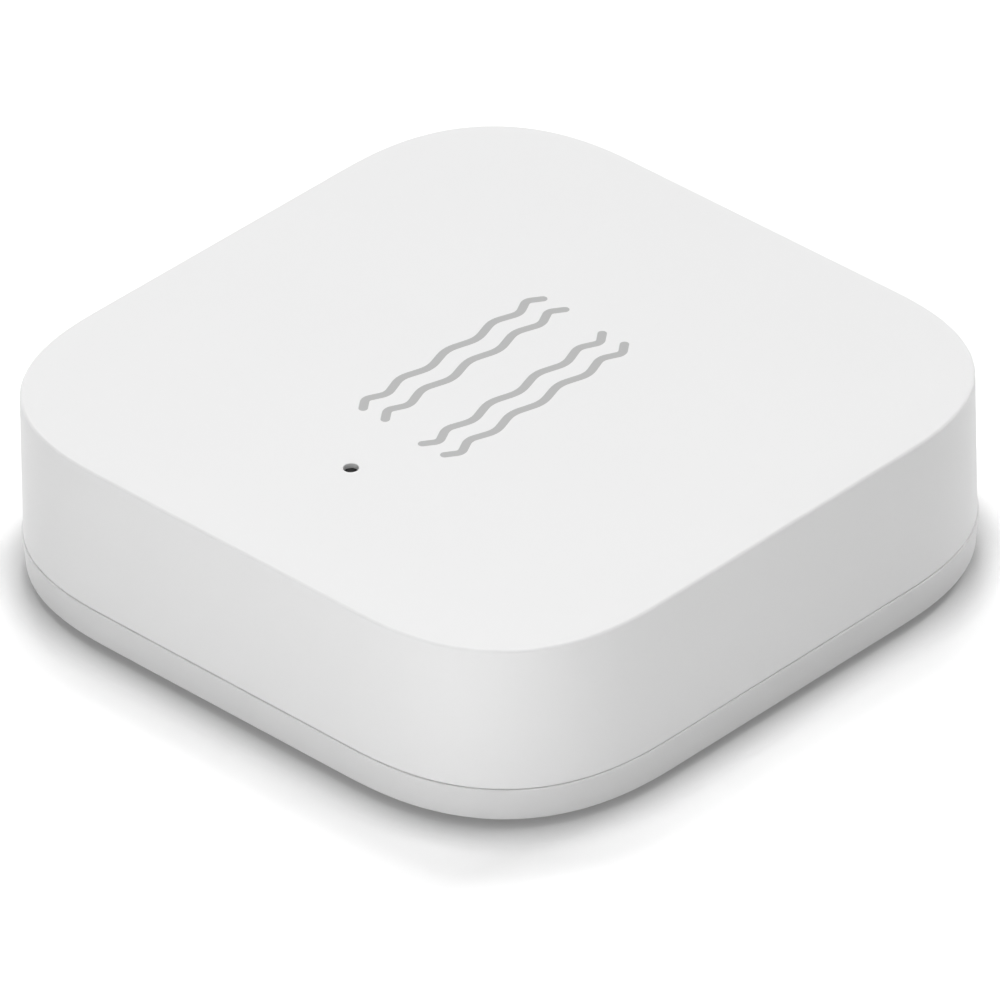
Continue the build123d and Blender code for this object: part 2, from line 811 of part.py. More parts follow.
nodes = {
    "top_cover": make_top_cover(),
    "wave_marks": make_wave_marks(0),
    "base_cover": make_base_cover(),
    "adhesive_tape": make_adhesive_tape(),
    "battery_door": make_battery_door(),
    "door_pad": make_door_pad(),
    "cell_can": make_cell_can(),
    "cell_gasket": make_cell_gasket(),
    "cell_cap": make_cell_cap(),
    "cell_anode": make_cell_anode(),
    "cell_separator": make_cell_separator(),
    "cell_cathode": make_cell_cathode(),
    "positive_contact": make_positive_contact(),
    "negative_contact": make_negative_contact(),
    "circuit_board": make_circuit_board(),
    "board_screws": make_board_screws(),
    "radio_shield_can": make_radio_shield_can(),
    "radio_chip": make_radio_chip(),
    "radio_crystal": make_radio_crystal(),
    "memory_chip": make_memory_chip(),
    "accelerometer_chip": block(accelerometer_size, *on_board(accelerometer_shares)),
    "supply_capacitor": block(capacitor_size, *on_board(capacitor_shares)),
    "small_passives": make_small_passives(),
    "antenna_trace": make_antenna_trace(),
    "test_pads": make_test_pads(),
    "indicator_led": block(led_size, 0, hole_y, board_top_z),
    "light_guide": make_light_guide(),
    "reset_button": make_reset_button(),
    "switch_plunger": make_switch_plunger(),
    "switch_body": make_switch_body(),
    "switch_frame": make_switch_frame(),
    "switch_dome": make_switch_dome(),
}

os.makedirs("parts", exist_ok=True)
for name, shape in nodes.items():
    export_step(shape, f"parts/{name}.step")
    print(name, len(shape.solids()), round(shape.volume, 2))
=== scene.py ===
# %% [markdown]
# # A vibration sensor tag, dressed in Blender
# The tag is a small white puck, 50 mm square with soft corners. It has a drafted
# cover, a base with a chamfered foot, a thin seam between them, four grey wavy marks
# and one pin hole for the indicator.
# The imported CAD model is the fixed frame: its pieces say where everything is. The
# shells that a person sees are modelled again here with finer edges, and everything
# inside keeps its CAD shape and gets a finish of its own.

# %% Load the frame
import math
import bmesh
import bpy
from mathutils import Matrix, Vector


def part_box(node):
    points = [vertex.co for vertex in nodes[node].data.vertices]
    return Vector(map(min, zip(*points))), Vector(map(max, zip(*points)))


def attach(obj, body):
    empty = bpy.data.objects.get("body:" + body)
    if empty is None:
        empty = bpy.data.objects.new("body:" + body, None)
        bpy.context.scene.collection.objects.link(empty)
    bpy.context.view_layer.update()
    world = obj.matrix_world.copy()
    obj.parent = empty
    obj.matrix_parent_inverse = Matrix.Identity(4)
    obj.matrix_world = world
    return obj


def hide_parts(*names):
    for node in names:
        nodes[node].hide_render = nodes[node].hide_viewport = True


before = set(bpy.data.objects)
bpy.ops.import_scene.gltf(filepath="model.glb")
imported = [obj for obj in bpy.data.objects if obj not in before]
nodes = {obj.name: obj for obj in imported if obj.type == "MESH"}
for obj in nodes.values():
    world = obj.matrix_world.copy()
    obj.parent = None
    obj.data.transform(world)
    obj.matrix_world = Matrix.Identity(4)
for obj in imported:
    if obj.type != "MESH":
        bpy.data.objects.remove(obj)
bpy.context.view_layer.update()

# %% [markdown]
# ## Sizes
# Blender's unit here is the metre, as in the frame, while a moulded part is easier to
# think of in millimetres. So every size below is a number times `mm`. Sizes that the
# frame already knows are read from it, so that the new shells can't drift away from
# the pieces that they cover.

# %% Sizes that the shells share
mm = 0.001
cover_low, cover_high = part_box("top_cover")
base_low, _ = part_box("base_cover")
tape_low, tape_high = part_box("adhesive_tape")
door_low, door_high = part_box("battery_door")
guide_low, guide_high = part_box("light_guide")
seam_half = cover_high.x
seam_z = cover_low.z
top_z = cover_high.z
top_wall = 1.6 * mm
ceiling_z = top_z - top_wall
foot_z = base_low.z
tape_top_z = tape_high.z
seam_corner = 14.4 * mm
seam_gap = 0.03 * mm
cover_ledge = 0.1 * mm
cover_side_inset = 0.4 * mm
cover_corner_inset = 0.9 * mm
cover_wall = 1.5 * mm
skirt_inset = 0.05 * mm
skirt_corner_offset = 0.4 * mm
foot_chamfer_height = 0.42 * mm
foot_chamfer_width = 0.75 * mm
rim_z = seam_z - seam_gap
print("across the seam", round(2 * seam_half / mm, 2), "mm, height", round(top_z / mm, 2), "mm")

# %% [markdown]
# ## The camera
# A photograph taken from far away with a long lens looks almost like a drawing: edges
# that run side by side stay side by side. The soft square in the photograph fits a
# view from 0.9 m with a lens of about 509 mm, turned 44 degrees round the tag and
# looking down by 34 degrees, with the camera tilted by about one degree. The camera is
# placed by those angles, because they are what a photographer would set.

# %% Camera
camera_turn = math.radians(44.25)
camera_height_angle = math.radians(33.73)
camera_tilt = math.radians(-1.16)
camera_distance = 895.77 * mm
camera_lens = 509.13
tag_middle = Vector((0, 0, 7 * mm))
aim_offset = Vector((0.89, -0.91, -1.91)) * mm
level_back = Vector((math.sin(camera_turn), -math.cos(camera_turn), 0))
back = level_back * math.cos(camera_height_angle) + Vector((0, 0, math.sin(camera_height_angle)))

camera_data = bpy.data.cameras.new("photo_camera")
camera_data.lens = camera_lens
camera_data.sensor_width = 36
camera_data.clip_start = 0.01
camera_data.clip_end = 50
camera = bpy.data.objects.new("photo_camera", camera_data)
bpy.context.scene.collection.objects.link(camera)
camera_place = tag_middle + back * camera_distance
look = tag_middle + aim_offset - camera_place
turn = look.to_track_quat("-Z", "Y").to_matrix().to_4x4()
camera.matrix_world = Matrix.Translation(camera_place) @ turn @ Matrix.Rotation(camera_tilt, 4, "Z")
bpy.context.scene.camera = camera
bpy.context.scene.view_settings.view_transform = "Standard"
print("camera at", [round(v / mm) for v in camera_place], "mm")

# %% [markdown]
# ## Small helpers for finishes
# A finish is a small graph of nodes. Two helpers keep the graphs short: one turns the
# hex colour that a designer writes into the linear numbers that the renderer counts
# in, and one adds a node with its settings and its links in a single call.

# %% Helpers for finishes
def colour(hex_code):
    """Linear RGBA from an sRGB hex code such as "#EDEDED"."""
    channels = [int(hex_code[start:start + 2], 16) / 255 for start in (1, 3, 5)]
    linear = [c / 12.92 if c <= 0.04045 else ((c + 0.055) / 1.055) ** 2.4 for c in channels]
    return (*linear, 1)


def add(tree, kind, settings=None, links=None):
    """Adds a node, sets its sockets or properties, and links other nodes' outputs to it."""
    node = tree.nodes.new("ShaderNode" + kind)
    for key, value in (settings or {}).items():
        if isinstance(key, int) or key in node.inputs:
            node.inputs[key].default_value = value
        else:
            setattr(node, key, value)
    for key, output in (links or {}).items():
        tree.links.new(output, node.inputs[key])
    return node


def new_finish(name):
    """Starts an empty finish and returns it with its graph."""
    finish = bpy.data.materials.new(name)
    finish.use_nodes = True
    finish.node_tree.nodes.clear()
    return finish, finish.node_tree


# %% [markdown]
# ## The floor and the white background
# The photograph is cut out on pure white, with only a soft shadow close to the tag. A
# diffuse sheet takes the shadow and throws light back on the sides. What the camera
# sees of it is lifted a little with Light Path, so that it reaches white a short way
# out from the foot, while the light that it gives the tag stays plain. The narrow dark
# line where the tag meets the floor is painted shade: an Ambient Occlusion node that
# looks only a few millimetres up from each point darkens the floor's colour and its
# lift there. The sheet's back lets rays through, like a sheet of glass, so that a view
# from underneath still shows the tape and the door.

# %% Floor
floor_size = 4.0
floor_z = -0.02 * mm
floor_lift = 0.22
contact_reach = 3 * mm
contact_start = 0.45
contact_shade = 0.52


def seen_directly(tree):
    """One where a ray comes from the camera, a reflection or clear glass, else zero."""
    path = add(tree, "LightPath")
    seen = path.outputs["Is Camera Ray"]
    for kind in ("Is Glossy Ray", "Is Transmission Ray"):
        seen = add(tree, "Math", {"operation": "MAXIMUM"}, {0: seen, 1: path.outputs[kind]}).outputs[0]
    return seen


floor_finish, tree = new_finish("white_studio_floor")
# Painted shade: the Ambient Occlusion node darkens the floor's colour and its lift close to the tag's foot.
contact = add(tree, "AmbientOcclusion", {"samples": 16, "Distance": contact_reach})
contact = add(tree, "MapRange", {1: contact_start, 3: contact_shade, 4: 1.0}, {0: contact.outputs["AO"]})
paper_colour_with_painted_shade = add(
    tree, "Mix", {"data_type": "RGBA", 6: (0, 0, 0, 1), 7: colour("#F6F6F6")}, {0: contact.outputs[0]})
lift = add(tree, "Math", {"operation": "MULTIPLY", 1: floor_lift}, {0: seen_directly(tree)})
lift = add(tree, "Math", {"operation": "MULTIPLY"}, {0: lift.outputs[0], 1: contact.outputs[0]})
glow = add(tree, "Emission", {"Color": (1, 1, 1, 1)}, {"Strength": lift.outputs[0]})
paper = add(tree, "BsdfDiffuse", links={"Color": paper_colour_with_painted_shade.outputs[2]})
both = add(tree, "AddShader", links={0: glow.outputs[0], 1: paper.outputs[0]})
passes = add(tree, "Math", {"operation": "MAXIMUM"}, {
    0: add(tree, "NewGeometry").outputs["Backfacing"], 1: add(tree, "LightPath").outputs["Is Shadow Ray"]})
sheet = add(tree, "MixShader", links={
    0: passes.outputs[0], 1: both.outputs[0], 2: add(tree, "BsdfTransparent").outputs[0]})
add(tree, "OutputMaterial", links={"Surface": sheet.outputs[0]})

shape = bmesh.new()
level = Matrix.Translation((0, 0, floor_z))
bmesh.ops.create_grid(shape, x_segments=1, y_segments=1, size=floor_size / 2, matrix=level)
floor_mesh = bpy.data.meshes.new("studio_floor")
shape.to_mesh(floor_mesh)
shape.free()
floor_mesh.materials.append(floor_finish)
floor = bpy.data.objects.new("studio_floor", floor_mesh)
bpy.context.scene.collection.objects.link(floor)
print("floor", floor_size, "m across")

# %% [markdown]
# ## The room and the lamps
# The room itself is white where a lens or a reflection sees it and gives no light, so
# the lamps alone shape the tag. A near lamp above the front corner makes the top a
# little lighter there than at the back. Lamps far behind and to the left lift the far
# edges and the left side without a gradient of their own, and small ones low in front
# keep the near corner from sinking into shade. A weak one under the floor lights the
# tape and the door for views from below. All are soft boxes that face the tag, placed
# by the angles that a photographer would use: `turn` goes round the tag from its -Y side
# towards +X, and `height` is the angle above the floor. Only the high ones show in
# reflections, because a low one behind would glare off the top in a low view.

# %% World
world = bpy.data.worlds.new("studio_room")
bpy.context.scene.world = world
world.use_nodes = True
tree = world.node_tree
tree.nodes.clear()
room = add(tree, "Background", {"Color": (1, 1, 1, 1)}, {"Strength": seen_directly(tree)})
add(tree, "OutputWorld", links={"Surface": room.outputs[0]})

# %% Lamps
lamps = {
    "top_box": {"turn": 44, "height": 66, "distance": 0.36, "size": 0.25, "power": 0.385},
    "left_high_box": {"turn": -90, "height": 65, "distance": 1.5, "size": 0.3, "power": 2.7},
    "left_box": {"turn": -110, "height": 45, "distance": 1.5, "size": 0.75, "power": 1.1},
    "back_left_high_box": {"turn": -135, "height": 65, "distance": 1.5, "size": 0.3, "power": 5.5},
    "back_right_high_box": {"turn": 135, "height": 65, "distance": 1.5, "size": 0.3, "power": 1.5},
    "back_box": {"turn": 180, "height": 40, "distance": 1.5, "size": 0.36, "power": 6.4},
    "back_right_low_box": {"turn": 150, "height": 12, "distance": 0.6, "size": 0.3, "power": 0.50},
    "under_box": {"turn": 0, "height": -90, "distance": 0.6, "size": 0.1, "power": 0.35},
    "left_low_box": {"turn": -100, "height": 8, "distance": 0.25, "size": 0.1, "power": 0.18},
    "left_near_box": {"turn": -80, "height": 10, "distance": 0.16, "size": 0.08, "power": 0.022},
    "front_low_box": {"turn": 18, "height": 9, "distance": 0.14, "size": 0.07, "power": 0.047},
    "corner_low_box": {"turn": 40, "height": 9, "distance": 0.14, "size": 0.07, "power": 0.008},
}
glare_height = 60
for name, lamp in lamps.items():
    data = bpy.data.lights.new(name, "AREA")
    data.shape = "SQUARE"
    data.size = lamp["size"]
    data.energy = lamp["power"]
    turn = Matrix.Rotation(math.radians(lamp["turn"]), 3, "Z")
    rise = Matrix.Rotation(-math.radians(lamp["height"]), 3, "X")
    place = turn @ rise @ Vector((0, -lamp["distance"], 0))
    lit = bpy.data.objects.new(name, data)
    lit.matrix_world = Matrix.Translation(place) @ (-place).to_track_quat("-Z", "Y").to_matrix().to_4x4()
    lit.visible_camera = False
    lit.visible_glossy = lamp["height"] > glare_height
    bpy.context.scene.collection.objects.link(lit)
    print("lamp", name, "at", [round(v, 2) for v in place], "with", lamp["power"], "W")

# %% [markdown]
# ## Outlines with soft corners
# Seen from above, the tag is a square whose corners start to turn early and bend most
# in the middle, softer than a quarter circle. Blender's bevel makes that curve from a
# sharp corner: its profile of 0.5 is a circle, and a little more pulls the curve
# outwards. Every level of the shells is one such outline, and all outlines have as
# many points, so that two neighbours bridge into a clean band of four-sided faces.

# %% Outlines and bands
corner_steps = 31
corner_profile = 0.574
outline_points = 4 * (corner_steps + 1)
bridge_lift = Vector((0, 0, 50 * mm))
weld_distance = 0.001 * mm
join_distance = 0.0005 * mm


def soft_square(shape, half, corner, z):
    """Adds a square outline with soft corners at a height and returns its edges."""
    place = Matrix.Translation((0, 0, z))
    square = bmesh.ops.create_grid(shape, x_segments=1, y_segments=1, size=half, matrix=place)
    made = bmesh.ops.bevel(
        shape, geom=square["verts"], offset=corner, offset_type="OFFSET", affect="VERTICES",
        segments=corner_steps, profile=corner_profile, material=-1)
    face = made["verts"][0].link_faces[0]
    edges = list(face.edges)
    bmesh.ops.delete(shape, geom=[face], context="FACES_ONLY")
    return edges


def circle(shape, radius, z):
    """Adds a round outline with as many points as a soft square and returns its edges."""
    place = Matrix.Translation((0, 0, z))
    made = bmesh.ops.create_circle(shape, segments=outline_points, radius=radius, matrix=place)
    return list({edge for vertex in made["verts"] for edge in vertex.link_edges})


def bridge_all(shape, outlines, closed=False):
    """Bridges each outline to the next one, and the last to the first where closed."""
    pairs = list(zip(outlines, outlines[1:]))
    if closed:
        pairs.append((outlines[-1], outlines[0]))
    for first, second in pairs:
        # Two outlines in one plane give the bridge no direction, so one is lifted for it.
        corners = list({vertex for edge in second for vertex in edge.verts})
        bmesh.ops.translate(shape, verts=corners, vec=bridge_lift)
        bmesh.ops.bridge_loops(shape, edges=first + second)
        bmesh.ops.translate(shape, verts=corners, vec=-bridge_lift)


def soften(shape, edges, radius, steps):
    """Rounds edges with a small radius."""
    bmesh.ops.bevel(
        shape, geom=edges, offset=radius, offset_type="OFFSET", affect="EDGES",
        segments=steps, profile=0.5, material=-1, clamp_overlap=True)


def finished_piece(name, shape, smooth_degrees=35):
    """Turns a bmesh into a shaded object at the origin."""
    bmesh.ops.remove_doubles(shape, verts=shape.verts, dist=join_distance)
    bmesh.ops.recalc_face_normals(shape, faces=shape.faces)
    mesh = bpy.data.meshes.new(name)
    shape.to_mesh(mesh)
    shape.free()
    mesh.shade_smooth()
    mesh.set_sharp_from_angle(angle=math.radians(smooth_degrees))
    piece = bpy.data.objects.new(name, mesh)
    bpy.context.scene.collection.objects.link(piece)
    return piece


def apply_boolean(piece, tool, operation):
    """Cuts the tool from a piece, or joins it on, and removes the tool."""
    modifier = piece.modifiers.new("work", "BOOLEAN")
    modifier.operation = operation
    modifier.solver = "EXACT"
    modifier.object = tool
    bpy.context.view_layer.update()
    result = bpy.data.meshes.new_from_object(piece.evaluated_get(bpy.context.evaluated_depsgraph_get()))
    piece.modifiers.clear()
    old = piece.data
    piece.data = result
    result.name = piece.name
    bpy.data.meshes.remove(old)
    bpy.data.objects.remove(tool)


def reshade(piece, smooth_degrees=35):
    """Welds stray points, smooths soft edges and lets the large faces lead the shading."""
    shape = bmesh.new()
    shape.from_mesh(piece.data)
    bmesh.ops.dissolve_degenerate(shape, dist=weld_distance, edges=shape.edges)
    shape.to_mesh(piece.data)
    shape.free()
    piece.data.shade_smooth()
    piece.data.set_sharp_from_angle(angle=math.radians(smooth_degrees))
    weighted = piece.modifiers.new("shading", "WEIGHTED_NORMAL")
    weighted.keep_sharp = True
    print(piece.name, len(piece.data.polygons), "faces")


# %% [markdown]
# ## The top cover
# The cover is an injection moulding: 1.5 mm walls with a little draft, so that it
# leaves its mould, and a small radius where the top meets the sides. At the seam it
# stands a tenth of a millimetre inside the base's rim, so that the rim's edge catches a
# thin line of light. It is modelled as a walk round its section: down the outside,
# across the rim and up the inside. The top and the ceiling close it, and the edges that
# catch light are softened last.

# %% Top cover
top_edge_radius = 0.2 * mm
seam_edge_radius = 0.06 * mm


def cover_level(shape, z, inset):
    """Outline of the drafted side at a height, set in by a wall."""
    share = (z - seam_z) / (top_z - seam_z)
    half = seam_half - cover_ledge - (cover_side_inset - cover_ledge) * share
    corner = seam_corner - cover_ledge - (cover_corner_inset - cover_ledge) * share
    return soft_square(shape, half - inset, corner - inset, z)


shape = bmesh.new()
outer_rim = cover_level(shape, seam_z, 0)
outer_top = cover_level(shape, top_z, 0)
inner_rim = cover_level(shape, seam_z, cover_wall)
inner_top = cover_level(shape, ceiling_z, cover_wall)
bridge_all(shape, [outer_top, outer_rim, inner_rim, inner_top])
bmesh.ops.contextual_create(shape, geom=outer_top)
bmesh.ops.contextual_create(shape, geom=inner_top)
soften(shape, outer_top, top_edge_radius, steps=6)
soften(shape, [edge for edge in outer_rim if edge.is_valid], seam_edge_radius, steps=3)
top_cover = finished_piece("top_cover_shell", shape)
print("top cover", len(top_cover.data.polygons), "faces")

# %% Tools that cut the cover
# A tool runs past the faces that it cuts by the overrun, or by a part of it where
# another wall is near, so that no two faces coincide.
hole_radius = 0.5 * mm
hole_chamfer = 0.03 * mm
guide_middle = (guide_low + guide_high) / 2
guide_radius = guide_high.x
guide_gap = 0.05 * mm
guide_boss_wall = 0.8 * mm
overrun = 1 * mm


def rod(shape, radius, middle, z_low, z_high, sides=64, top_radius=None):
    """Adds an upright cylinder, or a cone where the top has a radius of its own."""
    place = Matrix.Translation((middle[0], middle[1], (z_low + z_high) / 2))
    return bmesh.ops.create_cone(
        shape, cap_ends=True, segments=sides, radius1=radius,
        radius2=radius if top_radius is None else top_radius, depth=z_high - z_low, matrix=place)


def block(shape, low, high):
    """Adds a box between two corners."""
    size = Vector(high) - Vector(low)
    place = Matrix.Translation((Vector(low) + Vector(high)) / 2) @ Matrix.Diagonal((*size, 1))
    return bmesh.ops.create_cube(shape, size=1, matrix=place)


shape = bmesh.new()
rod(shape, guide_radius + guide_gap + guide_boss_wall, guide_middle, guide_low.z, ceiling_z + overrun / 2)
apply_boolean(top_cover, finished_piece("boss_tool", shape), "UNION")
shape = bmesh.new()
rod(shape, guide_radius + guide_gap, guide_middle, guide_low.z - overrun, ceiling_z)
apply_boolean(top_cover, finished_piece("bore_tool", shape), "DIFFERENCE")
shape = bmesh.new()
rod(shape, hole_radius, guide_middle, ceiling_z - overrun, top_z + overrun)
apply_boolean(top_cover, finished_piece("hole_tool", shape), "DIFFERENCE")
shape = bmesh.new()
rod(shape, hole_radius, guide_middle, top_z - hole_chamfer, top_z + overrun,
    top_radius=hole_radius + hole_chamfer + overrun)
apply_boolean(top_cover, finished_piece("chamfer_tool", shape), "DIFFERENCE")
print("hole", round(2 * hole_radius / mm, 2), "mm across at", [round(v / mm, 1) for v in guide_middle[:2]])

# %% [markdown]
# ## The wavy marks and their grooves
# The four marks are grey inlays in grooves a twentieth of a millimetre deep. The CAD
# node already has their exact outline, so it stays, and a copy of it cuts the grooves.
# The copy's loose triangles are merged first, because a boolean needs a closed tool,
# and its upper faces are lifted clear of the top, so that no two faces coincide.

# %% Grooves for the wavy marks
marks_low, marks_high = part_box("wave_marks")
shape = bmesh.new()
shape.from_mesh(nodes["wave_marks"].data)
bmesh.ops.remove_doubles(shape, verts=shape.verts, dist=weld_distance)
marks_middle_z = (marks_low.z + marks_high.z) / 2
upper = [vertex for vertex in shape.verts if vertex.co.z > marks_middle_z]
bmesh.ops.translate(shape, verts=upper, vec=(0, 0, overrun))
apply_boolean(top_cover, finished_piece("groove_tool", shape), "DIFFERENCE")
print("grooves", round((marks_high.z - marks_low.z) / mm, 3), "mm deep")

# %% [markdown]
# ## Snap pockets and the button's opening
# Four pockets inside the walls catch the base's hooks, and one opening in the hidden
# side lets the reset button through. The opening is a pill: a circle whose left half
# moves left and whose right half moves right, raised into a rod that cuts the wall.

# %% Pockets and opening
hook_width = 6.0 * mm
hook_clearance = 0.15 * mm
pocket_depth = 0.75 * mm
lip_height = 1.6 * mm
hook_flat_height = 0.35 * mm
hook_height = 2.2 * mm
lip_z = seam_z + lip_height
hook_flat_z = lip_z + hook_flat_height
hook_top_z = lip_z + hook_height
quarter_turns = [Matrix.Rotation(math.radians(90 * turn), 4, "Z") for turn in range(4)]


def cover_half(z):
    """Half width of the drafted side at a height."""
    return seam_half - cover_side_inset * (z - seam_z) / (top_z - seam_z)


pocket_wall_y = cover_half(lip_z) - cover_wall
shape = bmesh.new()
for turn in quarter_turns:
    made = block(
        shape,
        (-hook_width / 2 - hook_clearance, pocket_wall_y - overrun, hook_flat_z - hook_clearance),
        (hook_width / 2 + hook_clearance, pocket_wall_y + pocket_depth, hook_top_z + hook_clearance))
    bmesh.ops.transform(shape, matrix=turn, verts=made["verts"])
apply_boolean(top_cover, finished_piece("pocket_tool", shape), "DIFFERENCE")

button_low, button_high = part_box("reset_button")
button_z = (button_low.z + button_high.z) / 2
button_length = 6.0 * mm
button_height = 2.0 * mm
button_clearance = 0.12 * mm
pill_points = 64
to_side = Matrix.Translation((0, 0, button_z)) @ Matrix.Rotation(math.radians(-90), 4, "X")


def pill(shape, length, height, depth):
    """Adds a lying pill outline at a depth, to be turned to the +Y side later."""
    place = Matrix.Translation((0, 0, depth))
    made = bmesh.ops.create_circle(shape, segments=pill_points, radius=height / 2, matrix=place)
    reach = (length - height) / 2
    for side in (-1, 1):
        half = [vertex for vertex in made["verts"] if vertex.co.x * side > height / 1000]
        bmesh.ops.translate(shape, verts=half, vec=(side * reach, 0, 0))
    return list({edge for vertex in made["verts"] for edge in vertex.link_edges})


shape = bmesh.new()
opening_length = button_length + 2 * button_clearance
opening_height = button_height + 2 * button_clearance
inside = pill(shape, opening_length, opening_height, pocket_wall_y - overrun)
outside = pill(shape, opening_length, opening_height, seam_half + overrun)
bridge_all(shape, [inside, outside])
bmesh.ops.contextual_create(shape, geom=inside)
bmesh.ops.contextual_create(shape, geom=outside)
bmesh.ops.transform(shape, matrix=to_side, verts=shape.verts)
apply_boolean(top_cover, finished_piece("opening_tool", shape), "DIFFERENCE")
print("pockets and opening cut, button at z", round(button_z / mm, 2), "mm")

# %% [markdown]
# ## The base
# The base is one moulding too, and its section is longer: battery cup, floor, snap lip,
# seam ledge, skirt, tape pocket, counterbore and the ledge that holds the battery door.
# The same walk works. Round levels and soft squares have as many points as each other,
# so they bridge as well, and the last level closes on the first.

# %% Base section
lip_wall = 1.0 * mm
lip_clearance = 0.1 * mm
floor_thickness = 1.2 * mm
tape_margin = 1.27 * mm
tape_clearance = 0.1 * mm
tape_hole_radius = 17.0 * mm
counterbore_clearance = 0.1 * mm
ledge_height = 0.85 * mm
ledge_thickness = 0.7 * mm
ledge_radius = 12.55 * mm
lug_clearance = 0.05 * mm
lug_room_radius = 13.85 * mm
lug_room_outer_radius = 14.95 * mm
lug_room_roof = 0.75 * mm
cup_radius = 12.5 * mm
cup_outer_radius = 13.5 * mm
cup_board_gap = 0.3 * mm
rim_edge_radius = 0.08 * mm
skirt_edge_radius = 0.1 * mm
foot_edge_radius = 0.06 * mm

skirt_half = seam_half - skirt_inset
skirt_corner = seam_corner + skirt_corner_offset
foot_half = skirt_half - foot_chamfer_width
foot_corner = skirt_corner - foot_chamfer_width
tape_corner = foot_corner - tape_margin
inner_floor_z = tape_top_z + floor_thickness
lip_half = cover_half(lip_z) - cover_wall - lip_clearance
lip_draft = cover_corner_inset * (lip_z - seam_z) / (top_z - seam_z)
lip_corner = seam_corner - lip_draft - cover_wall - lip_clearance
counterbore_radius = door_high.y + counterbore_clearance
ledge_z = door_low.z + ledge_height
ledge_top_z = ledge_z + ledge_thickness
lug_roof_z = door_high.z + lug_clearance
lug_room_top_z = lug_roof_z + lug_room_roof
board_low, board_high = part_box("circuit_board")
cup_top_z = board_low.z - cup_board_gap

shape = bmesh.new()
skirt_rim = soft_square(shape, seam_half, seam_corner, rim_z)
skirt_edge = soft_square(shape, skirt_half, skirt_corner, foot_z + foot_chamfer_height)
foot_edge = soft_square(shape, foot_half, foot_corner, foot_z)
section = [
    circle(shape, cup_radius, cup_top_z),
    circle(shape, cup_outer_radius, cup_top_z),
    circle(shape, cup_outer_radius, lug_room_top_z),
    circle(shape, lug_room_outer_radius, lug_room_top_z),
    circle(shape, lug_room_outer_radius, inner_floor_z),
    soft_square(shape, lip_half - lip_wall, lip_corner - lip_wall, inner_floor_z),
    soft_square(shape, lip_half - lip_wall, lip_corner - lip_wall, lip_z),
    soft_square(shape, lip_half, lip_corner, lip_z),
    soft_square(shape, lip_half, lip_corner, rim_z),
    skirt_rim,
    skirt_edge,
    foot_edge,
    soft_square(shape, tape_high.x + tape_clearance, tape_corner + tape_clearance, foot_z),
    soft_square(shape, tape_high.x + tape_clearance, tape_corner + tape_clearance, tape_top_z),
    circle(shape, tape_hole_radius - tape_clearance, tape_top_z),
    circle(shape, tape_hole_radius - tape_clearance, foot_z),
    circle(shape, counterbore_radius, foot_z),
    circle(shape, counterbore_radius, ledge_z),
    circle(shape, ledge_radius, ledge_z),
    circle(shape, ledge_radius, ledge_top_z),
    circle(shape, lug_room_radius, ledge_top_z),
    circle(shape, lug_room_radius, lug_roof_z),
    circle(shape, cup_radius, lug_roof_z),
]
bridge_all(shape, section, closed=True)
skirt_levels = ((skirt_rim, rim_edge_radius), (skirt_edge, skirt_edge_radius), (foot_edge, foot_edge_radius))
for edges, radius in skirt_levels:
    soften(shape, [edge for edge in edges if edge.is_valid], radius, steps=4)
base_cover = finished_piece("base_cover_shell", shape)
print("base section has", len(section), "levels and", len(base_cover.data.polygons), "faces")

# %% [markdown]
# ## Hooks, bosses and lug stops
# Inside, the base carries four springy hooks, four posts that the board is screwed to,
# and six small stops that end the battery door's turn. Each is modelled once in a
# simple place and turned round the middle by a loop. A hook is a six-point section
# extruded sideways, a stop is a small face spun through a few degrees.

# %% Hooks, bosses, ribs and stops
hook_nose_depth = 0.5 * mm
boss_place = 15.5 * mm
boss_radius = 2.2 * mm
rib_thickness = 1.0 * mm
rib_height = 3.6 * mm
lug_count = 3
lug_degrees = 20.0
lug_play_degrees = 2.0
lug_stop_degrees = 2.4
lug_stop_gap_degrees = 0.6
lug_radius = 13.7 * mm
notch_radius = 13.8 * mm
door_turn_degrees = 30.0
lug_stop_overlap = 0.6 * mm
screw_radius = 0.82 * mm
screw_reach = 5.0 * mm
pilot_z = board_high.z - screw_reach
sunk_z = inner_floor_z - overrun / 4


def join_on(piece, shape, operation="UNION"):
    """Joins or cuts the piece with a bmesh tool."""
    apply_boolean(piece, finished_piece("tool", shape), operation)


def sector(shape, inner, outer, z_low, z_high, start, end):
    """Adds part of a ring between two angles, by spinning its section."""
    outline = ((inner, z_low), (outer, z_low), (outer, z_high), (inner, z_high))
    corners = [shape.verts.new((x, 0, z)) for x, z in outline]
    face = shape.faces.new(corners)
    to_start = Matrix.Rotation(math.radians(start), 4, "Z")
    bmesh.ops.transform(shape, matrix=to_start, verts=corners)
    steps = max(2, round((end - start) / 2))
    turn = math.radians(end - start)
    bmesh.ops.spin(shape, geom=[face], axis=(0, 0, 1), cent=(0, 0, 0), angle=turn, steps=steps)


def lug_angle(index):
    """Middle of one lug while the door is locked."""
    return 90 + 360 / lug_count * index


